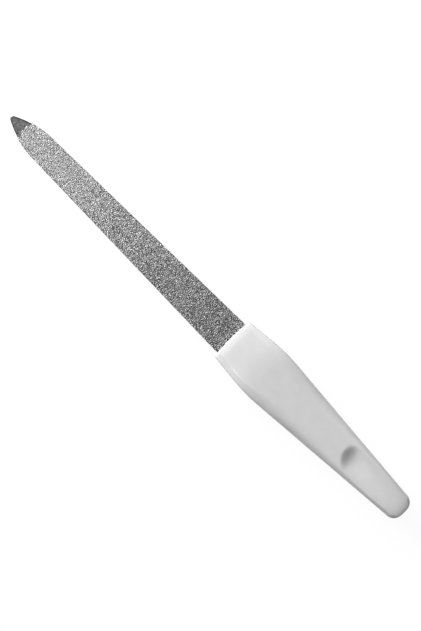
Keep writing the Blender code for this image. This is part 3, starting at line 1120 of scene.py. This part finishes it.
# %% [markdown]
# ## Crushed sapphire
#
# Sapphire that is crushed looks like grey salt. Its broken sides are dull, so its gloss is held back.
# Each grain reads its tone, from nearly black to nearly white. Grains that let light through would be
# truer, but slow to render.

# %% Crushed sapphire
SAPPHIRE_IOR = 1.76
GRAIN_TONES = (0.035, 0.78)

sapphire, sapphire_shader = new_surface(
    "crushed_sapphire", {"Roughness": 0.48, "IOR": SAPPHIRE_IOR, "Specular IOR Level": 0.2}
)
grain_tone = read_number(sapphire, TONE_NAME)
lead(spread(grain_tone, *GRAIN_TONES, source=(0.0, 1.0)), sapphire_shader.inputs["Base Color"])
for grains in (front_grains, back_grains):
    paint(grains, sapphire)
print("painted", front_grains.name, "and", back_grains.name)

# %% [markdown]
# ## White plastic
#
# The handle is satin white polystyrene. The mould was spark-eroded, which leaves a grain too fine to
# see as relief, so it varies the roughness. The moulding sank a little as it cooled, which leaves slow
# waves. They are a bump and cloud the colour faintly, which keeps it from looking like paper. The
# polished edge gets a clear coat by the number kept in its points.

# %% White plastic
WAVE_SPOT = 2.6 * MM
WAVE_HEIGHT = 0.012 * MM
PLASTIC_TONES = (0.745, 0.775)
PLASTIC_GRAIN = 0.12 * MM
PLASTIC_ROUGHNESS = (0.42, 0.50)

white_plastic, plastic_shader = new_surface(
    "satin_white_plastic", {"Specular IOR Level": 0.2, "Coat Roughness": 0.19}
)
plastic_waves = add_noise(white_plastic, WAVE_SPOT, detail=4.0)
plastic_grain = add_noise(white_plastic, PLASTIC_GRAIN)
lead(spread(plastic_waves, *PLASTIC_TONES), plastic_shader.inputs["Base Color"])
lead(spread(plastic_grain, *PLASTIC_ROUGHNESS), plastic_shader.inputs["Roughness"])
lead(read_number(white_plastic, POLISH_NAME), plastic_shader.inputs["Coat Weight"])
add_bump(plastic_shader, plastic_waves, WAVE_HEIGHT)
paint(moulded_handle, white_plastic)
print("painted", moulded_handle.name)

# %% [markdown]
# ## What is seen and what gives light
#
# The background has to look white, but a white room and table would flood the file with light. So
# both get two shaders: a white one for the camera, for reflections and for glass, and a dim one for
# the light that they throw. Light Path tells which kind of ray asks.

# %% A shader that is white where it is seen
def grey(level):
    """A grey as the four numbers of a colour."""
    return (level, level, level, 1.0)


def choose_by_ray(for_light, for_sight, surface):
    """Leads one shader to the light that falls on things and another to camera, mirror and glass rays."""
    tree = surface.id_data
    path = add_node(tree, "LightPath", {})
    seen = path.outputs["Is Camera Ray"]
    for ray in ("Is Glossy Ray", "Is Transmission Ray"):
        either = add_node(tree, "Math", {})
        either.operation = "MAXIMUM"
        lead(seen, either.inputs[0])
        lead(path.outputs[ray], either.inputs[1])
        seen = either.outputs["Value"]
    choice = add_node(tree, "MixShader", {})
    lead(seen, choice.inputs["Fac"])
    lead(for_light, choice.inputs[1])
    lead(for_sight, choice.inputs[2])
    lead(choice.outputs["Shader"], surface)


print("seen surfaces can be white")

# %% [markdown]
# ## The table and the room
#
# The file lies on a plain white table. What is seen of it is a steady glow with a little matt grey
# added, so that it is white in the open and keeps the soft shadow under the file. The room fills the
# shadows with an even dim light. The picture takes Standard colours, which come out as written.

# %% The table
TABLE_SIZE = 6.0
TABLE_LEVEL = 0.23
TABLE_ROUGHNESS = 0.9
TABLE_GLOW = 0.94
TABLE_SHADOW = 0.09

bpy.ops.mesh.primitive_plane_add(size=TABLE_SIZE, location=(0.0, 0.0, 0.0))
table = added("table")
table_paint, plain = new_surface(
    "pale_table", {"Base Color": grey(TABLE_LEVEL), "Roughness": TABLE_ROUGHNESS}
)
tree = table_paint.node_tree
glow = add_node(tree, "Emission", {"Strength": TABLE_GLOW})
shadow = add_node(tree, "BsdfDiffuse", {"Color": grey(TABLE_SHADOW)})
both = add_node(tree, "AddShader", {})
lead(glow.outputs["Emission"], both.inputs[0])
lead(shadow.outputs["BSDF"], both.inputs[1])
surface = tree.nodes["Material Output"].inputs["Surface"]
choose_by_ray(plain.outputs["BSDF"], both.outputs["Shader"], surface)
paint(table, table_paint)
print("the table is", TABLE_SIZE, "m wide")

# %% The room
ROOM_LEVEL = 0.26

room = bpy.data.worlds.new("room")
room.use_nodes = True
tree = room.node_tree
dim = set_plain(tree.nodes["Background"], {"Color": grey(ROOM_LEVEL)})
bright = add_node(tree, "Background", {"Color": grey(1.0)})
surface = tree.nodes["World Output"].inputs["Surface"]
choose_by_ray(dim.outputs["Background"], bright.outputs["Background"], surface)
bpy.context.scene.world = room
bpy.context.scene.view_settings.view_transform = "Standard"
print("the room gives light at a level of", ROOM_LEVEL)

# %% [markdown]
# ## The key lamp
#
# One large soft lamp stands low beyond the point of the file, a little to one side. It makes the
# collar's front glow and the steep wall of the scoop go dark. A lamp shines along its own -Z, so its Z
# is turned away from what it aims at.

# %% The key lamp
KEY_DISTANCE = 1.4
KEY_ELEVATION = math.radians(18.0)
KEY_SIDE = math.radians(5.0)
KEY_SIZE = (1.55, 0.47)
KEY_POWER = 42.3


def direction(elevation, side):
    """The way to a lamp beyond the point, by its angle above the table and to one side."""
    across = math.cos(elevation)
    return Vector((-across * math.cos(side), across * math.sin(side), math.sin(elevation)))


def add_lamp(name, kind, power, aim, towards, distance):
    """A lamp at a distance from what it aims at, with its power in watts."""
    lamp = bpy.data.objects.new(name, bpy.data.lights.new(name, kind))
    lamp.data.energy = power
    lamp.location = aim + towards * distance
    lamp.rotation_euler = towards.to_track_quat("Z", "Y").to_euler()
    bpy.context.scene.collection.objects.link(lamp)
    return lamp


towards_key = direction(KEY_ELEVATION, KEY_SIDE)
key_lamp = add_lamp("key", "AREA", KEY_POWER, Vector((0.0, 0.0, 0.0)), towards_key, KEY_DISTANCE)
key_lamp.data.shape = "RECTANGLE"
key_lamp.data.size, key_lamp.data.size_y = KEY_SIZE
print("key lamp", KEY_POWER, "W")

# %% [markdown]
# ## Lamps for the point
#
# The grit is brighter towards the point. Three small lamps stand high up round it. Each aims a little
# in front of it, and the soft rim of its cone ends near the handle, so that its light fades out along
# the blade. They give no gloss, because the bare steel shows none.

# %% Lamps for the point
POINT_LAMP_POWER = 4.9
POINT_LAMP_DISTANCE = 0.5
POINT_LAMP_ELEVATION = math.radians(70.0)
POINT_LAMP_SIDES = (math.radians(-75.0), 0.0, math.radians(75.0))
POINT_LAMP_AIM = 0.030
POINT_LAMP_REACH = 0.074
POINT_LAMP_RADIUS = 0.03

aim = Vector((POINT_X - POINT_LAMP_AIM, 0.0, BLADE_Z))
last_lit = Vector((POINT_X + POINT_LAMP_REACH, 0.0, BLADE_Z))
for side in POINT_LAMP_SIDES:
    towards_lamp = direction(POINT_LAMP_ELEVATION, side)
    point_lamp = add_lamp("point_lamp", "SPOT", POINT_LAMP_POWER, aim, towards_lamp, POINT_LAMP_DISTANCE)
    point_lamp.data.spot_blend = 1.0
    point_lamp.data.shadow_soft_size = POINT_LAMP_RADIUS
    point_lamp.data.spot_size = 2 * (last_lit - point_lamp.location).angle(-towards_lamp)
    point_lamp.visible_glossy = False
print(f"their light ends {1000 * POINT_LAMP_REACH:.0f} mm behind the point")

# %% [markdown]
# ## The lamp for the polished edge
#
# A polished edge shows as a white line only if it mirrors something bright. So a long narrow lamp is
# put where the camera's line of sight goes once the edge has mirrored it. It shows in gloss alone.

# %% The lamp for the polished edge
GLINT_POWER = 0.58
GLINT_DISTANCE = 0.5
GLINT_SIZE = (0.22, 0.09)
GLINT_BEHIND = 7.4 * MM

glint_place = Vector((COLLAR_X + GLINT_BEHIND, 0.0, BLADE_Z + handle_half_height(GLINT_BEHIND)))
glint_place.y = handle_side_round(GLINT_BEHIND) - handle_half_width(GLINT_BEHIND)
polished = min(moulded_handle.data.vertices, key=lambda vertex: (vertex.co - glint_place).length)
towards_camera = (camera.location - polished.co).normalized()
towards_glint = -towards_camera.reflect(polished.normal)
lengthways = (towards_glint.cross(Vector((1.0, 0.0, 0.0))).cross(towards_glint)).normalized()
glint = add_lamp("glint", "AREA", GLINT_POWER, polished.co, towards_glint, GLINT_DISTANCE)
glint.data.shape = "RECTANGLE"
glint.data.size, glint.data.size_y = GLINT_SIZE
glint_axes = Matrix((lengthways, towards_glint.cross(lengthways), towards_glint))
glint.rotation_euler = glint_axes.transposed().to_euler()
glint.visible_diffuse = False
print("the polished edge faces", [round(part, 2) for part in polished.normal])

# %% [markdown]
# ## Joining the pieces to the working model
#
# Nothing on a nail file moves, so every piece rides on the one body. The fine pieces stand for the
# working ones, which are hidden. Each row also lists a finish, which nothing here reads.

# %% Joining the pieces to the working model
for piece, finish in (
    (steel_blank, "bare_steel"),
    (front_bond, "sapphire_grit"),
    (back_bond, "sapphire_grit"),
    (front_grains, "sapphire_grit"),
    (back_grains, "sapphire_grit"),
    (moulded_handle, "white_plastic"),
):
    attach(piece, "root")
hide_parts("steel_blade")
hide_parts("front_grit_coat")
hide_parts("back_grit_coat")
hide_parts("handle")
